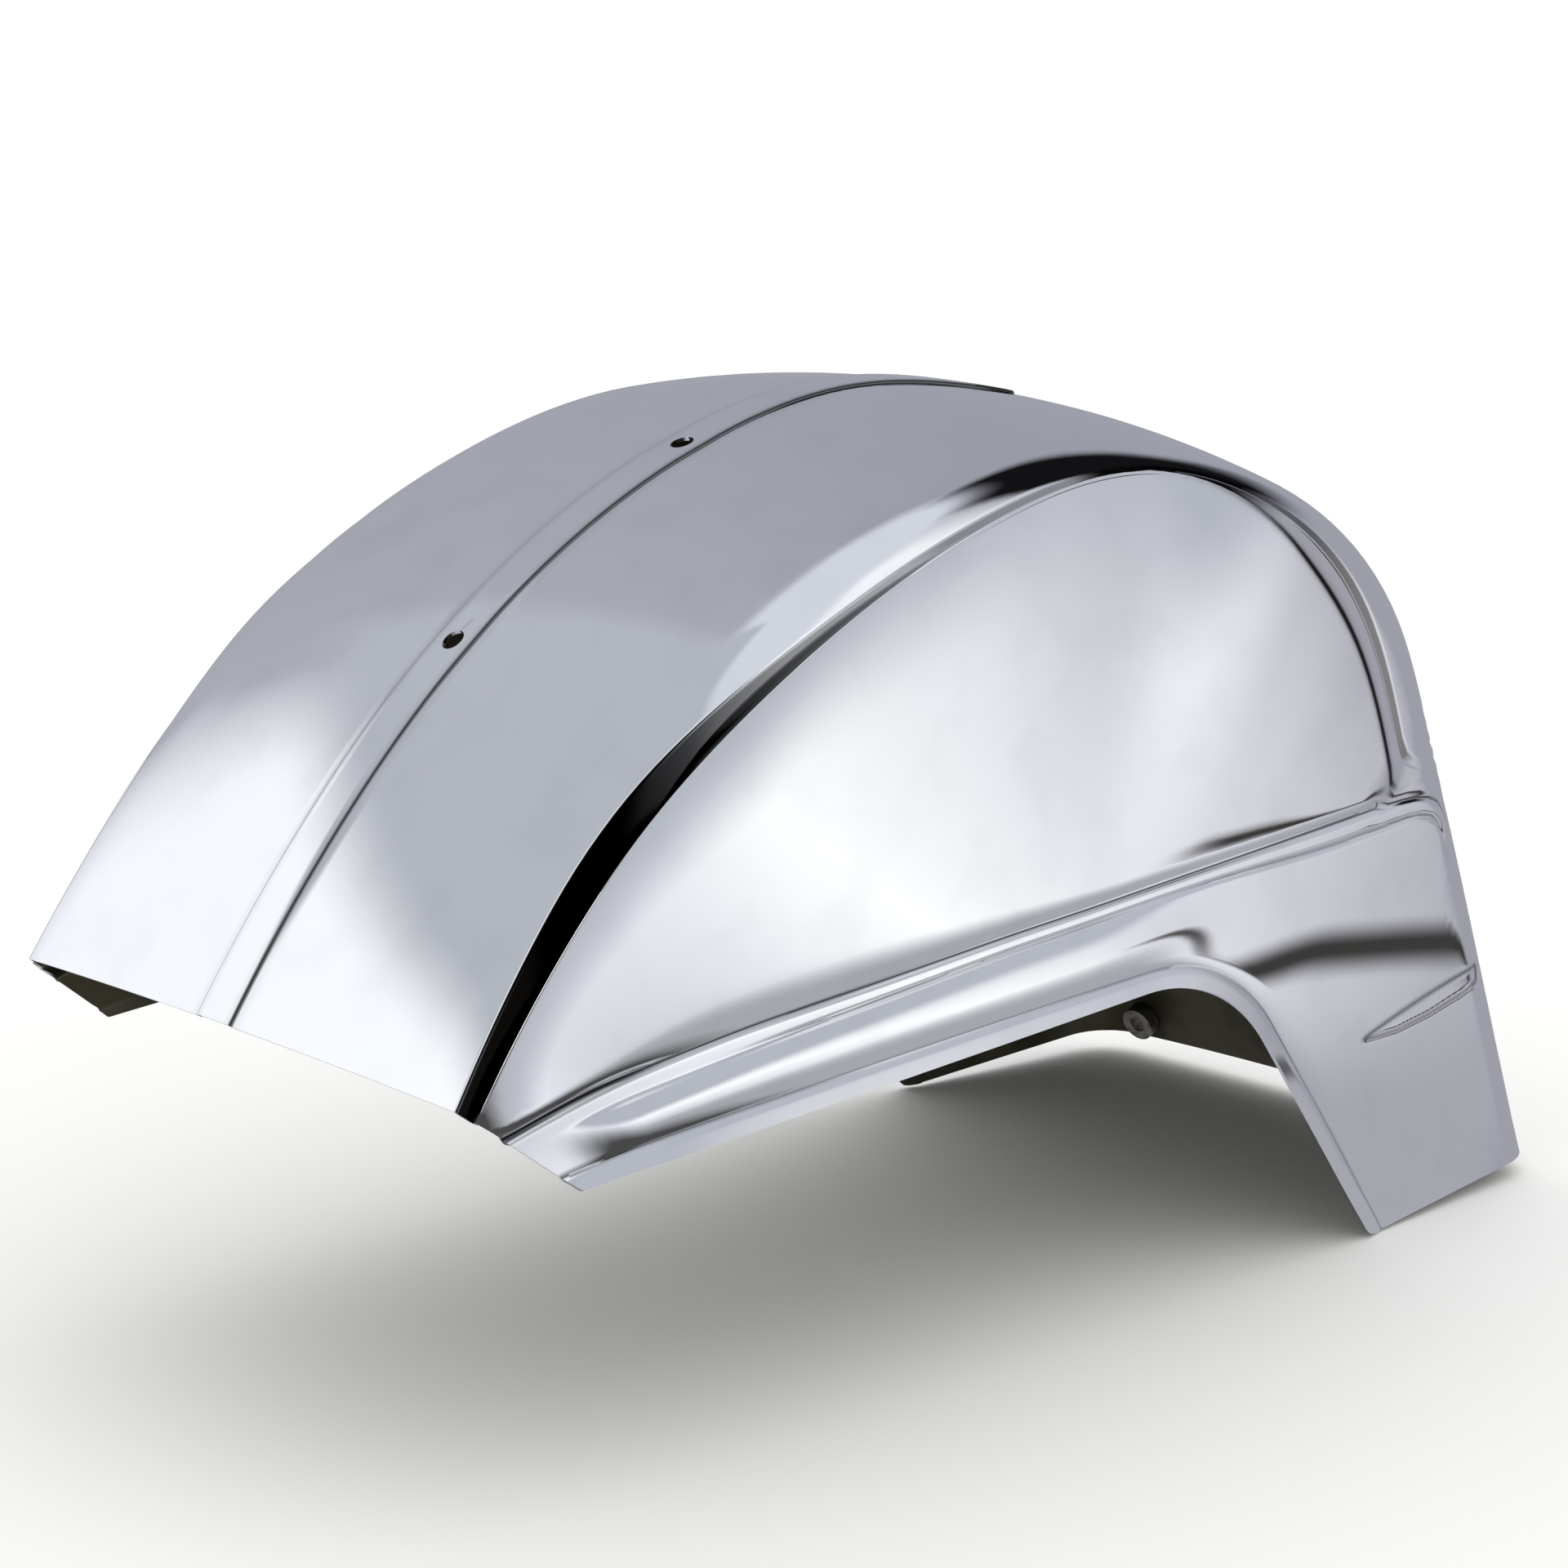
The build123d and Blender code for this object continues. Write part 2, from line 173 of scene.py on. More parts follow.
# The pressing. The sheet starts as a flat blank: share runs along the spine from nose to tail, from 0
# to 1, and reach runs across it from the spine to the lower edge. Sizes are in millimetres.
shellSizes = dict(
    sheet=1.2, pressRadius=0.35, halfWidth=111.0, halfTaper=6.0, footWidth=117.0, footTaper=4.0,
    cornerReach=17.0, cornerPull=0.62, endDrop=7.0, middleDrop=15.5, swellSpan=0.82,
    # lines of the side view, as x and z
    spine=[(-351.5, -135.5), (-315.5, -88.5), (-274.5, -46.5), (-222.5, -9.0), (-167.5, 15.5),
           (-108.5, 27.0), (-49.5, 21.0), (2.54, 5.44), (43.5, -22.5), (61.5, -46.5), (73.5, -74.5),
           (104.5, -160.5), (138.5, -254.5)],
    edge=[(-310.5, -167.5), (-45.0, -152.5), (34.5, -262.0)], archRadius=66.0,
    crease=[(-345.0, -148.0), (-311.5, -101.5), (-282.5, -71.0), (-221.5, -29.5), (-155.5, -2.0),
            (-99.5, 9.0), (-43.0, 2.5), (2.0, -21.5), (30.5, -57.0), (42.0, -85.0), (50.0, -110.0)],
    waist=[(-346.0, -151.0), (-310.0, -140.5), (-281.0, -134.0), (-219.0, -127.5), (-81.0, -120.0),
           (49.0, -112.5)],
    creaseLength=620.0, waistLength=450.0,
    # rounds of the lower corners, with the shares of the corner and of a place along the edge beside it
    footRound=6.5, footShares=(1.0, 0.96), noseRound=3.0, noseShares=(0.0, 0.03), upTheEnd=0.92,
    footLift=0.5, liftBelow=-240.0, liftRun=22.0, sideFrom=80.0,
    # strip, crease and cheek
    stripHalf=8.0, stripHeight=1.2, crestRun=8.0, bevelRun=9.0, bevelLoss=0.85, grooveOffset=0.8,
    grooveStart=0.6, grooveRise=20.0, cheekBow=3.5, bowSpan=90.0, bowLoss=0.6, bowFade=(0.45, 0.25),
    rimAbove=1.0, rimLeast=3.0, faceLeast=0.5, turnLimit=0.45,
    # rib, roll of the skirt and lip
    valleyWidth=0.8, ribWidth=5.0, ribHeight=0.7, ribFlank=1.3, ribLine=0.6, ribLineWidth=0.7,
    rollHeight=2.4, rollShape=0.8, lipWidth=7.0, lipFlare=1.4, lipLine=0.4, lipLineWidth=0.9,
    # the cheek ends where crease and waist come this near, and behind it both run beside the tail's corner
    cheekLeast=6.0, tailGap=4.0, tailBend=3.0, creaseGap=8.0, slopeStations=8, evenStations=6,
    # share at which a pressing starts or ends, and over how much: the heel's count from the cheek's end
    cheekNose=(-0.012, 0.03), cheekHeel=(-0.02, 0.022), ribHeel=(0.025, 0.045), ribRise=(0.12, 0.2),
    rollRise=(0.02, 0.05), rollFall=(0.5, 0.16), alongBlend=0.02,
    # values that change along the shell, as share and value
    alongShell=dict(
        fullness=[(0, 0.9), (0.1, 0.9), (0.15, 0.75), (0.2, 0.5), (0.25, 0.3), (0.3, 0.15), (0.4, 0.05),
                  (1, 0)],
        band=[(0, 3.5), (0.05, 5.5), (0.11, 8.5), (0.16, 8), (0.22, 4.5), (0.28, 2.5), (0.44, 2.2),
              (0.5, 3), (1, 3)],
        crestHeight=[(0, 3.2), (0.18, 3), (0.27, 2), (0.34, 1.2), (0.44, 1.2), (0.52, 1.7), (1, 1.8)],
        grooveDepth=[(0, 1.6), (0.2, 1.4), (0.3, 0.5), (0.36, 0.2), (0.44, 0.2), (0.5, 0.6), (1, 0.6)],
        bevel=[(0, 0), (0.5, 0), (0.6, 1), (1, 1)],
        # how much painted shade darkens the crease, along the shell
        paintedShade=[(0, 1), (0.16, 1), (0.26, 0.7), (0.34, 0.5), (0.44, 0.5), (0.5, 0.8), (0.6, 0.8), (1, 0.7)],
        rimRun=[(0, 2.5), (0.06, 3), (0.12, 7), (0.3, 8), (0.45, 6), (0.6, 3.5), (1, 3)],
        rimHeight=[(0, 2.6), (0.3, 2.6), (0.5, 1.8), (0.65, 1.3), (1, 1.2)],
        waistDepth=[(0, 1.6), (0.05, 1.4), (0.1, 0.6), (0.3, 0.4), (1, 0.5)],
        waistOffset=[(0, 1.5), (0.06, 1.5), (0.12, 3), (0.3, 3), (0.5, 2), (0.65, 1.2), (1, 1)],
    ),
    # painted shade, as width and amount of each line, and the painted shade in the crease
    paintedShadeLines=dict(bevel=(1.4, 1.3), strip=(0.9, 1.0), rim=(0.5, 1.0), rib=(0.5, 0.7), lip=(0.5, 0.45)),
    # more painted shade at the rim's front and how it fades, how bevel and crease hold their painted shade,
    # where the painted shade in the crease starts and ends, and painted shade along the leaf's outline
    rimShadeFront=1.3, rimShadeFade=(0.05, 0.07), bevelHold=2.0, creaseHold=3.0,
    creaseShadeStart=0.8, creaseShadeEnd=(-1.2, 1.0), leafEdgeShade=3.0,
    # leaf on the tail
    leafTip=(27.5, -193.0), leafEnd=(93.5, -180.0), leafBulge=1.1, leafFill=0.75, leafDepth=0.4,
    leafEdge=2.4, leafTipRun=4.0, leafTaper=0.3, leafLeast=0.1, leafFrom=90.0,
    leafBelly=[(0.0, -193.0), (0.31, -195.1), (0.585, -193.9), (0.865, -190.6), (1.0, -187.5)],
    # fork seat and holes, with the lengths of the cutters
    seatTilt=25.0, seatRadius=36.0, seatEdge=4.0, seatInset=0.8, seatLowest=-12.0,
    forkHole=21.0, forkSides=96, boltCircle=57.0, boltHole=3.5, boltCount=3, boltTurn=90.0, seatCut=20.0,
    crestHole=3.75, crestPlaces=[(-261.04, -34.47), (-170.07, 15.28)], crestCut=12.0,
    crestWays=[(-0.62043, 0, 0.784262), (-0.320634, 0, 0.947203)], crestDimple=0.5, dimpleRun=9.0,
    screwPlace=(127.407, 81.252, -247.69), screwWay=(0.925, 0.0991, 0.3668), screwHole=3.3, screwCut=24.0,
    # mesh: rows and where they gather, columns of each stretch and the room beside its fold
    rows=118, rowShares=[(0, 0), (0.03, 0.008), (0.95, 0.988), (1, 1)], mergeWithin=0.001,
    columns=(3, 4, 24, 5, 6, 6, 5, 3, 8, 6, 18, 10, 16, 12, 9), columnLeast=0.15, columnSpread=(0.05, 0.12),
    columnRoom=dict(strip=0.7, band=1.2, crest=1.0, face=2.0, turn=3.0, lip=2.0),
    leafCuts=5, leafMargin=4.0, leafMarginBelow=6.0, leafCutsFrom=85.0,
    seatCuts=1, seatMargin=8.0, seatCutsAbove=-40.0, smoothAngle=40.0,
    # how finely the lines and sections are drawn before the mesh takes its points from them
    stations=361, lineStep=0.1,
    samples=dict(spine=20000, bend=41, strip=60, crown=400, face=400, skirt=900),
)


def runningLength(line):
    return np.r_[0, np.cumsum(np.hypot(*np.diff(line, axis=0).T))]


def between(x, places, values):
    # each column of a table, read between its places
    return np.stack([np.interp(x, places, column) for column in values.T], -1)


def alongLine(line, share):
    length = runningLength(line)
    return between(share * length[-1], length, line)


def ease(x):
    x = np.clip(x, 0, 1)
    return x * x * (3 - 2 * x)


def rise(x, start, run):
    return ease((x - start) / run)


def peak(away, width):
    return np.exp(-(away / width) ** 2)


def soften(values, step, width):
    k = np.arange(-int(4 * width / step), int(4 * width / step) + 1) * step
    weight = np.exp(-(k / width) ** 2 / 2)
    return np.convolve(np.pad(values, len(k) // 2, mode="edge"), weight / weight.sum(), mode="valid")


def evenOut(line, beside):
    count = 2 * beside + 1
    padded = np.pad(line, beside, mode="reflect", reflect_type="odd")
    return np.convolve(padded, np.ones(count) / count, "valid")


def cubic(t, start, first, second, end):
    return ((1 - t) ** 3 * start + 3 * t * (1 - t) ** 2 * first + 3 * t * t * (1 - t) * second
            + t ** 3 * end)


def quadratic(start, corner, end, count=40):
    t = np.linspace(0, 1, count)[:, None]
    return (1 - t) ** 2 * start + 2 * t * (1 - t) * corner + t * t * end


def smoothLine(points, count=4000):
    # an even curve through a few points, with end slopes taken from the nearest three
    points = np.array(points, float)
    knots = runningLength(points)
    gap = np.diff(knots)
    last = len(points) - 1

    def endSlope(i, j, k):
        a, b, c = knots[i], knots[j], knots[k]
        return (points[i] * (2 * a - b - c) / ((a - b) * (a - c))
                + points[j] * (a - c) / ((b - a) * (b - c))
                + points[k] * (a - b) / ((c - a) * (c - b)))

    matrix = np.eye(last + 1)
    right = np.zeros_like(points)
    right[0] = endSlope(0, 1, 2)
    right[last] = endSlope(last, last - 1, last - 2)
    for i in range(1, last):
        before, after = gap[i - 1], gap[i]
        matrix[i, i - 1:i + 2] = after, 2 * (after + before), before
        right[i] = 3 * (after * (points[i] - points[i - 1]) / before
                        + before * (points[i + 1] - points[i]) / after)
    slope = np.linalg.solve(matrix, right)
    place = np.linspace(0, knots[-1], count)
    k = np.clip(np.searchsorted(knots, place, side="right") - 1, 0, last - 1)
    size = gap[k][:, None]
    t = (place - knots[k])[:, None] / size
    return ((1 + 2 * t) * (1 - t) ** 2 * points[k] + t * (1 - t) ** 2 * size * slope[k]
            + t * t * (3 - 2 * t) * points[k + 1] + t * t * (t - 1) * size * slope[k + 1])


def cornerArc(corner, ends, radius):
    # the arc that rounds a corner: its centre, where it touches the ways to both ends, and the way inwards
    ways = [(end - corner) / np.linalg.norm(end - corner) for end in ends]
    middle = (ways[0] + ways[1]) / np.linalg.norm(ways[0] + ways[1])
    half = math.acos(ways[0] @ middle)
    centre = corner + middle * radius / math.sin(half)
    return centre, [corner + way * radius / math.tan(half) for way in ways], middle


def roundedLine(points, radius, count=400):
    start, corner, end = [np.array(point, float) for point in points]
    centre, touches = cornerArc(corner, (start, end), radius)[:2]
    first, second = [math.atan2(*(touch - centre)[::-1]) for touch in touches]
    turn = np.linspace(first, second, count)
    arc = centre + radius * np.stack([np.cos(turn), np.sin(turn)], -1)
    return np.vstack([start, arc, end])


class PressedForm:

    def __init__(self, sizes, count=2401):
        self.sizes = sizes
        self.share = share = np.linspace(0, 1, count)
        spine = alongLine(smoothLine(sizes["spine"], sizes["samples"]["spine"]), share)
        edge = alongLine(roundedLine(sizes["edge"], sizes["archRadius"]), share)
        depth = np.hypot(*(edge - spine).T)
        half = sizes["halfWidth"] - sizes["halfTaper"] * share ** 2
        foot = sizes["footWidth"] - sizes["footTaper"] * share ** 3
        swell = np.cos(np.pi * np.clip((share - 0.5) / sizes["swellSpan"], -0.5, 0.5)) ** 2
        drop = sizes["endDrop"] + (sizes["middleDrop"] - sizes["endDrop"]) * swell
        # crown and side meet in one curve
        reach = sizes["cornerReach"]
        flare = (foot - half) / (depth - drop)
        start = np.stack([half - reach, drop * ((half - reach) / half) ** 2], -1)
        end = np.stack([half + flare * reach, drop + reach], -1)
        slope = 2 * drop * (half - reach) / half ** 2
        run = (end - start)[:, 0] - flare * (end - start)[:, 1]
        meet = start + (run / (1 - slope * flare))[:, None] * np.stack([np.ones_like(slope), slope], -1)
        first, second = [point + sizes["cornerPull"] * (meet - point) for point in (start, end)]
        t = np.linspace(0, 1, sizes["samples"]["bend"])[:, None, None]
        bend = cubic(t, start, first, second, end)
        bendLength = np.linalg.norm(np.diff(bend, axis=0), axis=2).sum(0)
        wallLength = np.hypot(foot - end[:, 0], depth - end[:, 1])
        self.table = dict(spine=spine, down=(edge - spine) / depth[:, None], depth=depth, half=half,
                          foot=foot, drop=drop, start=start, end=end, first=first, second=second,
                          bendLength=bendLength, wallLength=wallLength,
                          total=start[:, 0] + bendLength + wallLength)
        self.featureLines()
        self.sectionTable()

    def at(self, name, share):
        values = self.table[name]
        if values.ndim == 1:
            return np.interp(share, self.share, values)
        return between(share, self.share, values)

    def section(self, share, reach):
        # point and outward normal of the plain section, as half width and depth below the spine
        drop, half = self.at("drop", share), self.at("half", share)
        start, end, first, second = [self.at(name, share) for name in ("start", "end", "first", "second")]
        bendLength, wallLength = self.at("bendLength", share), self.at("wallLength", share)
        point = np.stack([reach, drop * (reach / half) ** 2], -1)
        heading = np.stack([np.ones_like(reach), 2 * drop * reach / half ** 2], -1)
        t = np.clip((reach - start[..., 0]) / bendLength, 0, 1)[..., None]
        turn = (1 - t) ** 2 * (first - start) + 2 * t * (1 - t) * (second - first) + t * t * (end - second)
        onBend = (reach > start[..., 0])[..., None]
        point = np.where(onBend, cubic(t, start, first, second, end), point)
        heading = np.where(onBend, turn, heading)
        side = np.stack([self.at("foot", share), self.at("depth", share)], -1) - end
        part = ((reach - start[..., 0] - bendLength) / wallLength)[..., None]
        point = np.where(part > 0, end + part * side, point)
        heading = np.where(part > 0, side, heading)
        heading = heading / np.linalg.norm(heading, axis=-1, keepdims=True)
        return point, np.stack([heading[..., 1], -heading[..., 0]], -1)

    def reachOfLine(self, line, count=3000):
        # where each section is crossed by a line of the side view
        found = np.full(len(self.stations), np.nan)
        for i, share in enumerate(self.stations):
            down = self.at("down", share)
            away = line - self.at("spine", share)
            across = away[:, 0] * down[1] - away[:, 1] * down[0]
            along = away @ down
            hits = [j for j in np.nonzero(across[:-1] * across[1:] <= 0)[0] if along[j] > 0]
            if hits:
                j = hits[0]
                below = along[j] + across[j] / (across[j] - across[j + 1]) * (along[j + 1] - along[j])
                reach = np.linspace(0, self.at("total", share), count)
                found[i] = np.interp(below, self.section(np.full_like(reach, share), reach)[0][:, 1], reach)
        return found

    def featureLines(self):
        # crease and waist as reaches, and all else that changes along the shell
        sizes = self.sizes
        self.stations = shares = np.linspace(0, 1, sizes["stations"])
        crease, waist = [self.reachOfLine(smoothLine(sizes[name])) for name in ("crease", "waist")]
        last = np.nonzero(waist - crease > sizes["cheekLeast"])[0][-1]
        self.cheekEnd = shares[last]
        fromHeel = shares - self.cheekEnd
        # behind the cheek both lines run up to the tail's corner and along it
        before = last - sizes["slopeStations"]
        slope = (waist[last] - waist[before]) / (shares[last] - shares[before])
        corner = self.at("start", shares)[:, 0] + self.at("bendLength", shares) / 2
        beside = corner[last:] + sizes["tailGap"]
        gap = waist[last] + slope * fromHeel[last:] - beside
        waist[last:] = beside + gap / 2 + np.hypot(gap / 2, sizes["tailBend"])
        crease[last:] = np.minimum(crease[last], waist[last:] - sizes["creaseGap"])
        crease, waist = [evenOut(line, sizes["evenStations"]) for line in (crease, waist)]
        noseStart, noseRun = sizes["cheekNose"]
        nose = np.sqrt(1 - np.clip(1 - (shares - noseStart) / noseRun, 0, 1) ** 2)
        heel = 1 - rise(fromHeel, *sizes["cheekHeel"])
        ribEnd = 1 - rise(fromHeel, *sizes["ribHeel"])
        self.along = dict(
            crease=crease, waist=waist, cheek=nose * heel, ribEnd=ribEnd,
            # a line that crosses the sections at a slant is that much wider along them
            creaseSlant=np.hypot(1, np.gradient(crease, shares) / sizes["creaseLength"]),
            waistSlant=np.hypot(1, np.gradient(waist, shares) / sizes["waistLength"]),
            groove=np.minimum(1, sizes["grooveStart"] + sizes["grooveRise"] * shares) * heel,
            rib=rise(shares, *sizes["ribRise"]) * ribEnd,
            roll=rise(shares, *sizes["rollRise"]) * (1 - rise(shares, *sizes["rollFall"])),
        )
        for name, pairs in sizes["alongShell"].items():
            values = np.interp(shares, *np.array(pairs).T)
            self.along[name] = soften(values, shares[1], sizes["alongBlend"])

    def stationValues(self, i):
        share = self.stations[i]
        values = {name: line[i] for name, line in self.along.items()}
        return SimpleNamespace(share=share, edge=self.at("total", share), **values)

    def stand(self, now, reach, height=0.0):
        # points of the plain section at one station, raised along its normals
        reach = np.atleast_1d(np.asarray(reach, float))
        point, normal = self.section(np.full_like(reach, now.share), reach)
        return point + np.broadcast_to(height, reach.shape)[:, None] * normal

    def crownLegs(self, now):
        # strip, and a crown that keeps its way up to the crease at the front
        sizes, samples = self.sizes, self.sizes["samples"]
        reach = np.linspace(0, sizes["stripHalf"], samples["strip"])
        strip = self.stand(now, reach, sizes["stripHeight"])
        crownEnd = now.crease - now.band * now.creaseSlant
        reach = np.linspace(sizes["stripHalf"], crownEnd, samples["crown"])
        crown = self.stand(now, reach)
        start = self.at("start", now.share)[0]
        near, far = 0.1, 0.3  # the crown's way is read between these, before its corner
        way = (self.stand(now, start - near) - self.stand(now, start - far)) / (far - near)
        straight = self.stand(now, start) + (reach - start)[:, None] * way
        crown += (straight - crown) * (now.fullness * (reach > start))[:, None]
        return dict(strip=strip, crown=crown)

    def cheekLegs(self, now):
        # crease, and the cheek with its bevel, bowed face and lower rim
        sizes = self.sizes
        grooveReach = now.crease + (sizes["grooveOffset"] * now.cheek + now.cheek - 1) * now.creaseSlant
        groove = self.stand(now, grooveReach, -now.grooveDepth * now.groove)
        faceReach = min(now.crease + sizes["bevelRun"] * now.bevel * now.creaseSlant,
                        max(now.crease, now.waist - sizes["rimLeast"]))
        rimReach = max(now.waist - sizes["rimAbove"], faceReach + sizes["faceLeast"])
        span = rimReach - faceReach
        out = self.section(np.array([now.share]), np.array([now.crease]))[1] + np.array([[1.0, 0.0]])
        out = now.crestHeight * now.cheek * out / np.linalg.norm(out)
        crest = self.stand(now, now.crease) + out * (1 - sizes["bevelLoss"] * now.bevel)
        rim = self.stand(now, rimReach) + np.array([[now.rimHeight * now.cheek, 0]])
        t = np.linspace(0, 1, sizes["samples"]["face"])
        plain = self.stand(now, faceReach + span * t)
        bow = sizes["cheekBow"] * ease(span / sizes["bowSpan"]) * now.cheek
        bow *= 1 - sizes["bowLoss"] * rise(now.share, *sizes["bowFade"])
        face = plain[:1] + out
        face = face + (rim - face) * t[:, None] + np.stack([bow * 4 * t * (1 - t), 0 * t], -1)
        face = plain + (face - plain) * now.cheek
        crestPart, rimPart = [min(run / span, sizes["turnLimit"]) for run in (sizes["crestRun"], now.rimRun)]
        now.crestTurn = crestPart * span
        now.valley = max(now.waist, rimReach) + now.waistOffset * now.waistSlant
        now.valleyDepth = now.waistDepth * now.ribEnd
        kept = face[t <= 1 - rimPart]
        rimRound = quadratic(kept[-1:], face[-1:], self.stand(now, now.valley, -now.valleyDepth))
        return dict(groove=groove, crest=crest, face=kept, rim=rimRound[1:])

    def skirtLeg(self, now):
        # rib between two lines, roll of the skirt, and lip
        sizes, slant = self.sizes, now.waistSlant
        now.ribSide = now.valley + sizes["ribWidth"] * slant
        now.flank = sizes["ribFlank"] * slant
        lipStart = now.edge - sizes["lipWidth"]
        reach = np.linspace(now.valley, now.edge, sizes["samples"]["skirt"])
        height = -now.valleyDepth * peak(reach - now.valley, sizes["valleyWidth"] * slant)
        onRib = rise(reach, now.valley, now.flank) * (1 - rise(reach, now.ribSide - now.flank, now.flank))
        height += sizes["ribHeight"] * now.rib * onRib
        height -= sizes["ribLine"] * now.rib * peak(reach - now.ribSide, sizes["ribLineWidth"] * slant)
        down = np.clip((reach - now.ribSide) / (lipStart - now.ribSide), 0, 1)
        height += sizes["rollHeight"] * now.roll * np.sin(np.pi * down) ** sizes["rollShape"]
        height -= sizes["lipLine"] * peak(reach - lipStart, sizes["lipLineWidth"])
        height += sizes["lipFlare"] * np.clip((reach - lipStart) / sizes["lipWidth"], 0, 1)
        return dict(skirt=self.stand(now, reach, height)[1:])

    def columnMarks(self, now):
        # where the columns of the mesh gather along one section
        sizes, ends = self.sizes, now.ends
        room, columns = sizes["columnRoom"], sizes["columns"]
        marks = np.array([
            0.0, sizes["stripHalf"] - room["strip"],
            sizes["stripHalf"] + sizes["stripHeight"] + room["strip"],
            ends["crown"] - room["band"], ends["crown"] + room["band"], ends["groove"],
            ends["crest"] - room["crest"], ends["crest"] + room["crest"],
            now.faceStart - room["face"], now.faceStart + room["face"],
            now.faceStart + now.crestTurn + room["turn"], ends["face"], ends["rim"],
            ends["rim"] + (now.ribSide + 2 * now.flank - now.valley) * now.skirtScale,
            ends["skirt"] - (sizes["lipWidth"] + room["lip"]) * now.skirtScale, ends["skirt"],
        ])
        # behind the cheek the columns spread out
        spread = np.cumsum(columns[2:-1]) / sum(columns[2:-1])
        spread = marks[2] + (marks[-2] - marks[2]) * spread
        marks[3:-1] += (spread - marks[3:-1]) * rise(now.share - self.cheekEnd, *sizes["columnSpread"])
        for k, count in enumerate(columns[:-1]):
            marks[k + 1] = max(marks[k + 1], marks[k] + sizes["columnLeast"] * count)
        return marks

    def paintedShadeAlong(self, now, length):
        # painted shade on the bevel, at the strip's step, beside the rib, above the lip and in the crease
        sizes, ends = self.sizes, now.ends
        lines = dict(
            bevel=(now.faceStart, now.bevel * min(1, sizes["bevelHold"] * now.cheek)),
            strip=(sizes["stripHalf"] + sizes["stripHeight"] / 2, 1.0),
            rim=(ends["rim"], now.ribEnd),
            rib=(ends["rim"] + (now.ribSide - now.valley) * now.skirtScale, now.rib),
            lip=(ends["skirt"] - sizes["lipWidth"] * now.skirtScale, 1.0),
        )
        wider = dict(rim=sizes["rimShadeFront"] * (1 - rise(now.share, *sizes["rimShadeFade"])))
        paintedShade = np.zeros_like(length)
        for name, (place, left) in lines.items():
            width, amount = sizes["paintedShadeLines"][name]
            paintedShade += amount * left * peak(length - place, width + wider.get(name, 0))
        endBefore, endRun = sizes["creaseShadeEnd"]
        inCrease = rise(length, ends["crown"], sizes["creaseShadeStart"])
        inCrease *= 1 - rise(length, ends["crest"] + endBefore, endRun)
        return np.maximum(paintedShade, now.paintedShade * inCrease * min(1, sizes["creaseHold"] * now.groove))

    def pressedSection(self, i):
        # one section with all its pressings and its painted shade, and the marks of its columns
        sizes, step = self.sizes, self.sizes["lineStep"]
        now = self.stationValues(i)
        legs = {**self.crownLegs(now), **self.cheekLegs(now), **self.skirtLeg(now)}
        line = np.vstack(list(legs.values()))
        length = runningLength(line)
        counts = dict(zip(legs, np.cumsum([len(leg) for leg in legs.values()])))
        now.ends = {name: length[count - 1] for name, count in counts.items()}
        now.faceStart = length[counts["crest"]]
        now.skirtScale = (now.ends["skirt"] - now.ends["rim"]) / (now.edge - now.valley)
        even = np.arange(0, length[-1] + step, step)
        line = between(even, length, line)
        mirrored = np.vstack([line[:0:-1] * [-1, 1], line])
        smooth = np.stack([soften(column, step, sizes["pressRadius"]) for column in mirrored.T], -1)
        smooth = smooth[len(line) - 1:]
        kept = round(sizes["sheet"] / step)  # the cut edge stays where it is
        smooth[-kept:] = line[-kept:]
        return even, np.column_stack([smooth, self.paintedShadeAlong(now, even)]), self.columnMarks(now)

    def sectionTable(self):
        columns = self.sizes["columns"]
        steps = np.r_[0, np.cumsum(columns)] / sum(columns)
        self.across = np.linspace(0, 1, 4 * sum(columns) + 1)
        rows = []
        for i in range(len(self.stations)):
            length, values, marks = self.pressedSection(i)
            rows.append(between(np.interp(self.across, steps, marks), length, values))
        self.sections = np.array(rows)

    def sectionPoint(self, share, across):
        # half width, depth and painted shade, read between the stations and columns of the table
        lastRow, lastColumn = len(self.stations) - 1, len(self.across) - 1
        inside = 0.001  # keeps the last row and column from reading past the table
        i = np.clip(share * lastRow, 0, lastRow - inside)
        j = np.clip(across * lastColumn, 0, lastColumn - inside)
        row, column = i.astype(int), j.astype(int)
        f, g = (i - row)[:, None], (j - column)[:, None]
        table = self.sections
        return ((1 - f) * ((1 - g) * table[row, column] + g * table[row, column + 1])
                + f * ((1 - g) * table[row + 1, column] + g * table[row + 1, column + 1]))

    def place(self, share, across):
        point = self.sectionPoint(share, across)
        spine, down = self.at("spine", share), self.at("down", share)
        return point, np.stack([spine[:, 0] + down[:, 0] * point[:, 1], point[:, 0],
                                spine[:, 1] + down[:, 1] * point[:, 1]], -1)

    def leaf(self, x, z):
        # depth of the leaf-shaped recess on the tail, and how far a place is inside its outline
        sizes = self.sizes
        (x0, z0), (x1, z1) = sizes["leafTip"], sizes["leafEnd"]
        t = (x - x0) / (x1 - x0)
        top = z0 + (z1 - z0) * t + sizes["leafBulge"] * 4 * t * (1 - t)
        bellyPart, bellyHeight = np.array(sizes["leafBelly"]).T
        bottom = top - sizes["leafFill"] * (top - np.interp(t, bellyPart, bellyHeight))
        edge = sizes["leafEdge"]
        across = np.clip((top - z) / np.clip(top - bottom, sizes["leafLeast"], None), 0, 1)
        inside = ease((top - z) / edge + 0.5) * ease((z - bottom) / edge + 0.5)
        inside *= ease((x - x0) / sizes["leafTipRun"]) * ease((x1 - x) / edge + 0.5)
        return sizes["leafDepth"] * inside * (1 - sizes["leafTaper"] * across), inside

    def roundCorner(self, place, shares, radius):
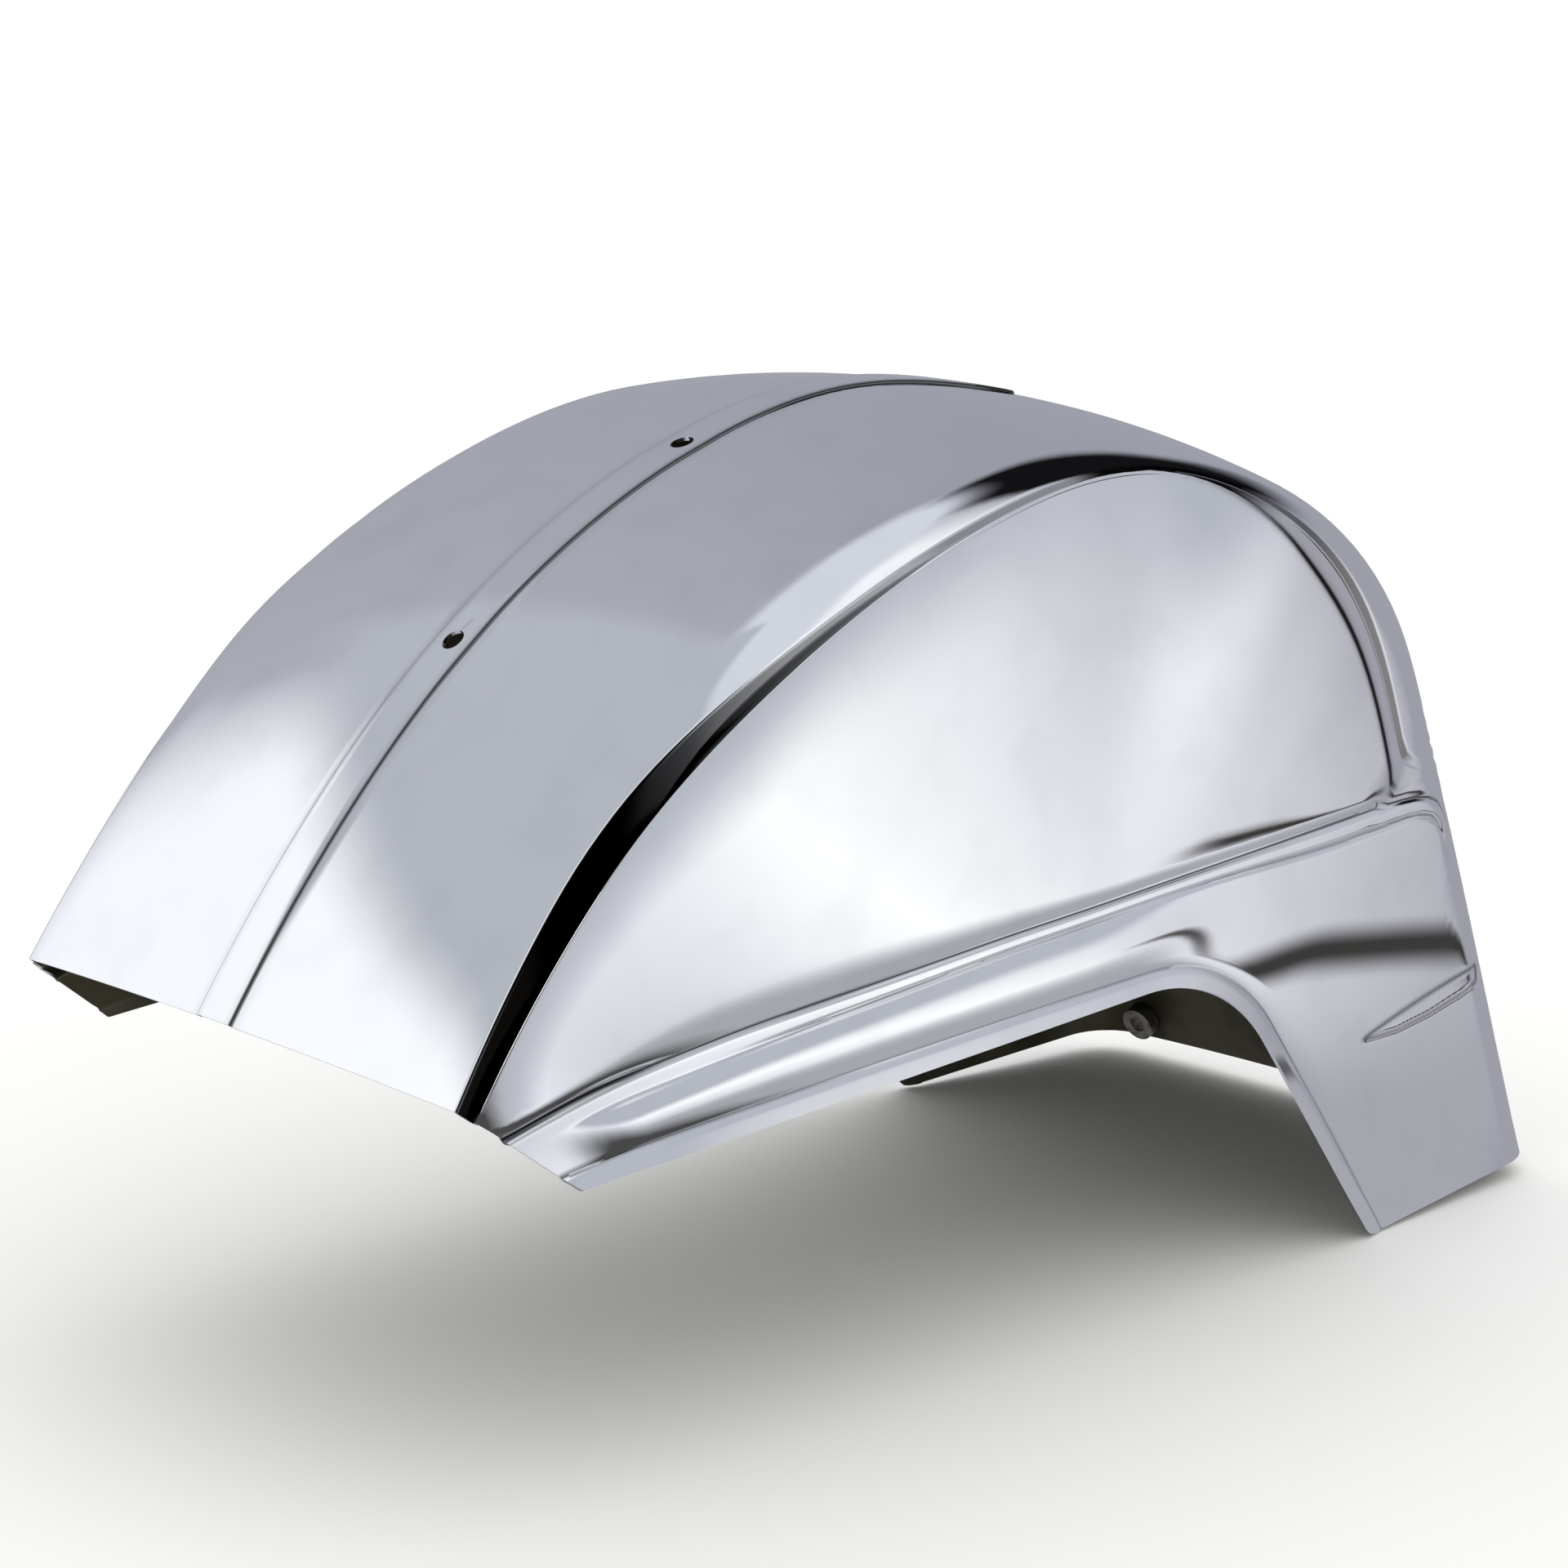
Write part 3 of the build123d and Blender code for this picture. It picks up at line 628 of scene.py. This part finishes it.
        # draws the lower corner at one end of the side in to a round, in the side view
        share, inner = shares
        corners = self.place(np.array([share, share, inner]), np.array([1, self.sizes["upTheEnd"], 1]))[1]
        corner, up, along = corners[:, [0, 2]]
        centre, touches, middle = cornerArc(corner, (up, along), radius)
        marks = [(touch - centre) / radius for touch in touches]
        away = place[:, [0, 2]] - centre
        length = np.linalg.norm(away, axis=1) + 1e-9  # never zero
        way = away / length[:, None]
        nearCorner = (length < 3 * radius) & (place[:, 1] > self.sizes["sideFrom"])
        inWedge = nearCorner & (way @ -middle > marks[0] @ -middle)
        scale = np.where(inWedge, np.maximum(way @ marks[0], way @ marks[1]), 1)
        place[:, [0, 2]] = centre + away * scale[:, None]

    def press(self, blank):
        # blank: rows along the first axis, from -1 to 1, columns along the second
        sizes = self.sizes
        along, side = (blank[:, 0] + 1) / 2, blank[:, 1]
        rowPlaces, rowShares = np.array(sizes["rowShares"]).T
        gather, gatherShare = sizes["rowShares"][-2]
        atTail = 1 - (1 - gatherShare) * ((1 - along) / (1 - gather)) ** 2
        share = np.where(along > gather, atTail, np.interp(along, rowPlaces, rowShares))
        point, place = self.place(share, np.abs(side))
        self.roundCorner(place, sizes["footShares"], sizes["footRound"])
        self.roundCorner(place, sizes["noseShares"], sizes["noseRound"])
        place[:, 2] += sizes["footLift"] * ease((sizes["liftBelow"] - place[:, 2]) / sizes["liftRun"])
        onTail = point[:, 0] > sizes["leafFrom"]
        depth, inside = [values * onTail for values in self.leaf(place[:, 0], place[:, 2])]
        place[:, 1] -= depth
        # painted shade from the table, with more painted shade along the leaf recess's outline
        self.paintedShade = np.clip(point[:, 2] + sizes["leafEdgeShade"] * inside * (1 - inside), 0, 1)
        for x, z in sizes["crestPlaces"]:
            away = np.hypot(np.hypot(place[:, 0] - x, place[:, 1]), place[:, 2] - z)
            place[:, 2] -= sizes["crestDimple"] * peak(away, sizes["dimpleRun"])
        # the fork seat: pressed down flat, square to the steering axis
        tilt = math.radians(sizes["seatTilt"])
        axis = np.array([math.sin(tilt), 0, math.cos(tilt)])
        height = place @ axis
        away = np.linalg.norm(place - height[:, None] * axis, axis=1)
        onCrown = (height > sizes["seatLowest"]) & (point[:, 0] < sizes["sideFrom"])
        flat = 1 - ease((away - sizes["seatRadius"] + sizes["seatInset"]) / sizes["seatEdge"])
        place -= (np.where(onCrown, flat, 0) * height)[:, None] * axis
        place[:, 1] *= np.where(side < 0, -1, 1)
        return place * mm


def readPoints(mesh):
    points = np.zeros(len(mesh.vertices) * 3)
    mesh.vertices.foreach_get("co", points)
    return points.reshape(-1, 3)


def subdivideWhere(thing, form, test, cuts):
    # subdivides the faces of the blank whose pressed place passes a test
    mesh = thing.data
    blank = readPoints(mesh)
    middle = np.array([blank[np.array(face.vertices)].mean(0) for face in mesh.polygons])
    chosen = test(form.press(middle) / mm)
    pickOnly(thing)
    bpy.ops.object.mode_set(mode="EDIT")
    bpy.ops.mesh.select_mode(type="FACE")
    bpy.ops.mesh.select_all(action="DESELECT")
    bpy.ops.object.mode_set(mode="OBJECT")
    mesh.polygons.foreach_set("select", chosen)
    bpy.ops.object.mode_set(mode="EDIT")
    bpy.ops.mesh.subdivide(number_cuts=cuts, quadcorner="INNERVERT")
    bpy.ops.object.mode_set(mode="OBJECT")


def makeBlank(sizes, form):
    # a flat grid, finer where the leaf and the fork seat come
    bpy.ops.object.select_all(action="DESELECT")
    bpy.ops.mesh.primitive_grid_add(x_subdivisions=sizes["rows"],
                                    y_subdivisions=2 * sum(sizes["columns"]), size=2)
    shell = bpy.context.object
    shell.name = "pressedShell"
    shell.data.name = "pressedShell"
    for finish in (chromePlate(plateLook), dullInside(insideLook)):
        shell.data.materials.append(finish)
    (x0, z0), (x1, z1) = sizes["leafTip"], sizes["leafEnd"]
    margin = sizes["leafMargin"]

    def nearLeaf(place):
        x, y, z = place.T
        inLength = (x > x0 - margin) & (x < x1 + margin)
        inHeight = (z > z0 - sizes["leafMarginBelow"]) & (z < z1 + margin)
        return inLength & inHeight & (np.abs(y) > sizes["leafCutsFrom"])

    def nearSeat(place):
        x, y, z = place.T
        return (np.hypot(x, y) < sizes["seatRadius"] + sizes["seatMargin"]) & (z > sizes["seatCutsAbove"])

    subdivideWhere(shell, form, nearLeaf, sizes["leafCuts"])
    subdivideWhere(shell, form, nearSeat, sizes["seatCuts"])
    return shell


def pressBlank(shell, sizes, form):
    mesh = shell.data
    mesh.vertices.foreach_set("co", form.press(readPoints(mesh)).ravel())
    mesh.update()
    # the painted shade goes onto the mesh as a point attribute, read by the chrome's colour
    mesh.attributes.new("paintedShade", "FLOAT", "POINT").data.foreach_set("value", form.paintedShade)
    print("blank pressed,", len(mesh.vertices), "points")
    pickOnly(shell)
    bpy.ops.object.mode_set(mode="EDIT")
    bpy.ops.mesh.select_all(action="SELECT")
    bpy.ops.mesh.remove_doubles(threshold=sizes["mergeWithin"] * mm)
    bpy.ops.mesh.normals_make_consistent(inside=False)
    bpy.ops.object.mode_set(mode="OBJECT")
    top = max(mesh.polygons, key=lambda face: face.center.z)
    if top.normal.z < 0:
        mesh.flip_normals()
    applyModifier(shell, "SOLIDIFY", thickness=sizes["sheet"] * mm, offset=-1, use_even_offset=False,
                  material_offset=1, material_offset_rim=0)


def cutRound(thing, centre, axis, radius, length, sides=48):
    turn = Vector((0, 0, 1)).rotation_difference(Vector(axis)).to_euler()
    bpy.ops.object.select_all(action="DESELECT")
    bpy.ops.mesh.primitive_cylinder_add(vertices=sides, radius=radius * mm, depth=length * mm,
                                        location=[c * mm for c in centre], rotation=turn)
    cutter = bpy.context.object
    applyModifier(thing, "BOOLEAN", operation="DIFFERENCE", solver="EXACT", object=cutter)
    bpy.data.objects.remove(cutter)


def cutHoles(shell, sizes):
    tilt = math.radians(sizes["seatTilt"])
    axis = Vector((math.sin(tilt), 0, math.cos(tilt)))
    ahead = Vector((math.cos(tilt), 0, -math.sin(tilt)))
    left = Vector((0, 1, 0))
    cutRound(shell, (0, 0, 0), axis, sizes["forkHole"], sizes["seatCut"], sizes["forkSides"])
    for i in range(sizes["boltCount"]):
        angle = math.radians(360 / sizes["boltCount"] * i + sizes["boltTurn"])
        place = (ahead * math.cos(angle) + left * math.sin(angle)) * sizes["boltCircle"] / 2
        cutRound(shell, place, axis, sizes["boltHole"], sizes["seatCut"])
    for (x, z), way in zip(sizes["crestPlaces"], sizes["crestWays"]):
        cutRound(shell, (x, 0, z), way, sizes["crestHole"], sizes["crestCut"])
    cutRound(shell, sizes["screwPlace"], sizes["screwWay"], sizes["screwHole"], sizes["screwCut"])


form = PressedForm(shellSizes)
shell = makeBlank(shellSizes, form)
pressBlank(shell, shellSizes, form)
cutHoles(shell, shellSizes)
print("shell holed,", sum(len(face.vertices) - 2 for face in shell.data.polygons), "triangles")

pickOnly(shell)
bpy.ops.object.shade_smooth_by_angle(angle=math.radians(shellSizes["smoothAngle"]))
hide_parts("mudguard_shell")
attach(shell, "root")
nutFinish = nutSteel(nutLook)
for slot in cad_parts["weld_nut"].material_slots:
    slot.material = nutFinish
print("pieces finished")

# Floor, and a room that only the plating sees. Sizes are in metres, gaps in millimetres.
stageSizes = dict(
    floorSize=14.0, floorGap=0.5, floorPaper="#F7F7F5", floorRoughness=0.9, floorShine=0.1,
    domeRadius=3.0, domeCentre=(-0.12, 0.0, -0.1), domeSegments=64, domeRings=32,
    roomStrength=1.1, tableGap=0.4, footprint=(0.22, 0.11, 0.0), nearTable=(0.1, 0.3), tableGrey="#A4A5AC",
    darkAway=(0.29, 0.40), darkAwayBorder=0.05, darkTurn=(-47, -22), darkTurnBorder=6, darkGrey="#3A3A38",
    # azimuth in degrees and grey of the wall: dark behind the camera, a white screen on the left, grey
    # walls at the rear and on the right, and a white door in front
    walls=[(-180, "#9C9EA6"), (-128, "#484848"), (-107, "#484848"), (-75, "#DCDEE4"), (-58, "#FFFFFF"),
           (-43, "#DADAE0"), (-25, "#9C9CA4"), (40, "#989AA4"), (98, "#A8AAB2"), (109, "#F4F6FA"),
           (180, "#FFFFFF")],
    # azimuths and elevations in degrees, colour, soft border in degrees
    fields=[
        ((-400, 400), (58, 120), "#D0D3DA", 10),
        ((90, 166), (30, 78), "#B2B5BC", 6),
        ((-98, -24), (-4, 42), "#B4B7BF", 12),
        ((-100, -46), (30, 72), "#F0F2F6", 16),
        ((-156, -90), (7, 62), "#0A0A0A", 9),
        ((-32, 34), (14, 68), "#121214", 12),
    ],
)
floorHeight = cadBox[0][2]


def makeFloor(sizes):
    bpy.ops.object.select_all(action="DESELECT")
    bpy.ops.mesh.primitive_plane_add(size=sizes["floorSize"],
                                     location=(0, 0, floorHeight - sizes["floorGap"] * mm))
    floor = bpy.context.object
    floor.name = "paleFloor"
    # matt white paper
    material, tree, out = newMaterial("palePaper")
    shader = addNode(tree, "ShaderNodeBsdfPrincipled", inputs={
        "Base Color": toLinear(sizes["floorPaper"]), "Roughness": sizes["floorRoughness"],
        "Specular IOR Level": sizes["floorShine"]})
    tree.links.new(shader.outputs[0], out.inputs[0])
    floor.data.materials.append(material)


def softRange(tree, value, low, high, border):
    # 1 between two values and 0 outside them, with a soft border inside
    rising = addNode(tree, "ShaderNodeMapRange", settings=dict(interpolation_type="SMOOTHSTEP"),
                     inputs={"From Min": low, "From Max": low + border}, links={"Value": value})
    falling = addNode(tree, "ShaderNodeMapRange", settings=dict(interpolation_type="SMOOTHSTEP"),
                      inputs={"From Min": high - border, "From Max": high, "To Min": 1.0, "To Max": 0.0},
                      links={"Value": value})
    both = addNode(tree, "ShaderNodeMath", settings=dict(operation="MULTIPLY"),
                   links={0: rising.outputs[0], 1: falling.outputs[0]})
    return both.outputs[0]


def paintWithin(tree, colour, paint, first, second):
    # lays a paint over a colour where two soft ranges hold
    both = addNode(tree, "ShaderNodeMath", settings=dict(operation="MULTIPLY"), links={0: first, 1: second})
    return addNode(tree, "ShaderNodeMixRGB", inputs={2: toLinear(paint)},
                   links={0: both.outputs[0], 1: colour.outputs[0]})


def wallColour(tree, place, walls):
    # the parts of a place, its azimuth in degrees, and the grey of the wall there
    parts = addNode(tree, "ShaderNodeSeparateXYZ", links={0: place})
    turn = addNode(tree, "ShaderNodeMath", settings=dict(operation="ARCTAN2"),
                   links={0: parts.outputs[1], 1: parts.outputs[0]})
    share = addNode(tree, "ShaderNodeMapRange", inputs={"From Min": -math.pi, "From Max": math.pi},
                    links={"Value": turn.outputs[0]})
    ring = addNode(tree, "ShaderNodeValToRGB", links={0: share.outputs[0]})
    stops = ring.color_ramp.elements
    for azimuth, paint in walls[1:-1]:
        stops.new((azimuth + 180) / 360).color = toLinear(paint)
    stops[0].color = toLinear(walls[0][1])
    stops[len(stops) - 1].color = toLinear(walls[-1][1])
    azimuth = addNode(tree, "ShaderNodeMath", settings=dict(operation="DEGREES"), links={0: turn.outputs[0]})
    return parts, azimuth, ring


def finishRoomPiece(thing, material, tree, out, colour, strength):
    # the piece glows in its colour, lights nothing by itself and is seen only in the plating
    material.cycles.emission_sampling = "NONE"
    light = addNode(tree, "ShaderNodeEmission", inputs={"Strength": strength},
                    links={"Color": colour.outputs[0]})
    tree.links.new(light.outputs[0], out.inputs[0])
    thing.data.materials.append(material)
    thing.visible_camera = False
    thing.visible_diffuse = False
    thing.visible_transmission = False
    thing.visible_shadow = False


def makeDome(sizes):
    # the walls and ceiling of the room, in soft fields of grey
    bpy.ops.object.select_all(action="DESELECT")
    bpy.ops.mesh.primitive_uv_sphere_add(segments=sizes["domeSegments"], ring_count=sizes["domeRings"],
                                         radius=sizes["domeRadius"], location=sizes["domeCentre"])
    dome = bpy.context.object
    dome.name = "studioDome"
    material, tree, out = newMaterial("studioWalls")
    place = addNode(tree, "ShaderNodeTexCoord")
    way = addNode(tree, "ShaderNodeVectorMath", settings=dict(operation="NORMALIZE"),
                  links={0: place.outputs["Object"]})
    parts, azimuth, colour = wallColour(tree, way.outputs[0], sizes["walls"])
    elevation = addNode(tree, "ShaderNodeMath", settings=dict(operation="ARCSINE"),
                        links={0: parts.outputs[2]})
    elevation = addNode(tree, "ShaderNodeMath", settings=dict(operation="DEGREES"),
                        links={0: elevation.outputs[0]})
    for azimuths, elevations, paint, border in sizes["fields"]:
        colour = paintWithin(tree, colour, paint,
                             softRange(tree, azimuth.outputs[0], *azimuths, border),
                             softRange(tree, elevation.outputs[0], *elevations, border))
    finishRoomPiece(dome, material, tree, out, colour, sizes["roomStrength"])


def makeTable(sizes):
    # the table top round the shell, grey near it and dark in one stretch
    bpy.ops.object.select_all(action="DESELECT")
    bpy.ops.mesh.primitive_plane_add(size=2 * sizes["domeRadius"], location=(
        *sizes["domeCentre"][:2], floorHeight - sizes["tableGap"] * mm))
    table = bpy.context.object
    table.name = "tableTop"
    material, tree, out = newMaterial("tablePaper")
    place = addNode(tree, "ShaderNodeTexCoord")
    azimuth, ring = wallColour(tree, place.outputs["Object"], sizes["walls"])[1:]
    # distance from the shell's footprint, a rectangle
    outside = place.outputs["Object"]
    steps = [("ABSOLUTE", {}), ("SUBTRACT", {1: sizes["footprint"]}), ("MAXIMUM", {1: (0, 0, 0)})]
    for operation, inputs in steps:
        outside = addNode(tree, "ShaderNodeVectorMath", settings=dict(operation=operation), inputs=inputs,
                          links={0: outside}).outputs[0]
    away = addNode(tree, "ShaderNodeVectorMath", settings=dict(operation="LENGTH"), links={0: outside})
    nearest, farthest = sizes["nearTable"]
    near = addNode(tree, "ShaderNodeMapRange", settings=dict(interpolation_type="SMOOTHSTEP"),
                   inputs={"From Min": nearest, "From Max": farthest, "To Min": 1.0, "To Max": 0.0},
                   links={"Value": away.outputs["Value"]})
    colour = addNode(tree, "ShaderNodeMixRGB", settings=dict(blend_type="DARKEN"),
                     inputs={2: toLinear(sizes["tableGrey"])},
                     links={0: near.outputs[0], 1: ring.outputs[0]})
    colour = paintWithin(tree, colour, sizes["darkGrey"],
                         softRange(tree, away.outputs["Value"], *sizes["darkAway"], sizes["darkAwayBorder"]),
                         softRange(tree, azimuth.outputs[0], *sizes["darkTurn"], sizes["darkTurnBorder"]))
    finishRoomPiece(table, material, tree, out, colour, sizes["roomStrength"])


makeFloor(stageSizes)
makeDome(stageSizes)
makeTable(stageSizes)
print("stage set")

worldSizes = dict(white="#FFFFFF", lightStrength=1.15, seenStrength=1.0)
world = bpy.data.worlds.new("whiteRoom")
bpy.context.scene.world = world
world.use_nodes = True
tree = world.node_tree
tree.nodes.clear()
path = addNode(tree, "ShaderNodeLightPath")
seen = path.outputs["Is Camera Ray"]
for ray in ("Is Glossy Ray", "Is Transmission Ray"):
    seen = addNode(tree, "ShaderNodeMath", settings=dict(operation="MAXIMUM"),
                   links={0: seen, 1: path.outputs[ray]}).outputs[0]
roomLight, white = [
    addNode(tree, "ShaderNodeBackground",
            inputs={"Color": toLinear(worldSizes["white"]), "Strength": strength})
    for strength in (worldSizes["lightStrength"], worldSizes["seenStrength"])
]
mix = addNode(tree, "ShaderNodeMixShader", links={0: seen, 1: roomLight.outputs[0], 2: white.outputs[0]})
addNode(tree, "ShaderNodeOutputWorld", links={0: mix.outputs[0]})

cameraSizes = dict(lens=107.13, sensor=36.0, clipEnd=100, target=(-127.5, 0.0, -100.3),
                   place=(-1105.9, -1081.95, 249.2))
bpy.ops.object.camera_add(location=[c * mm for c in cameraSizes["place"]])
camera = bpy.context.object
camera.data.lens = cameraSizes["lens"]
camera.data.sensor_width = cameraSizes["sensor"]
camera.data.clip_end = cameraSizes["clipEnd"]
toward = Vector(cameraSizes["target"]) - Vector(cameraSizes["place"])
camera.rotation_euler = toward.to_track_quat("-Z", "Y").to_euler()
bpy.context.scene.camera = camera
bpy.context.scene.view_settings.view_transform = "Standard"
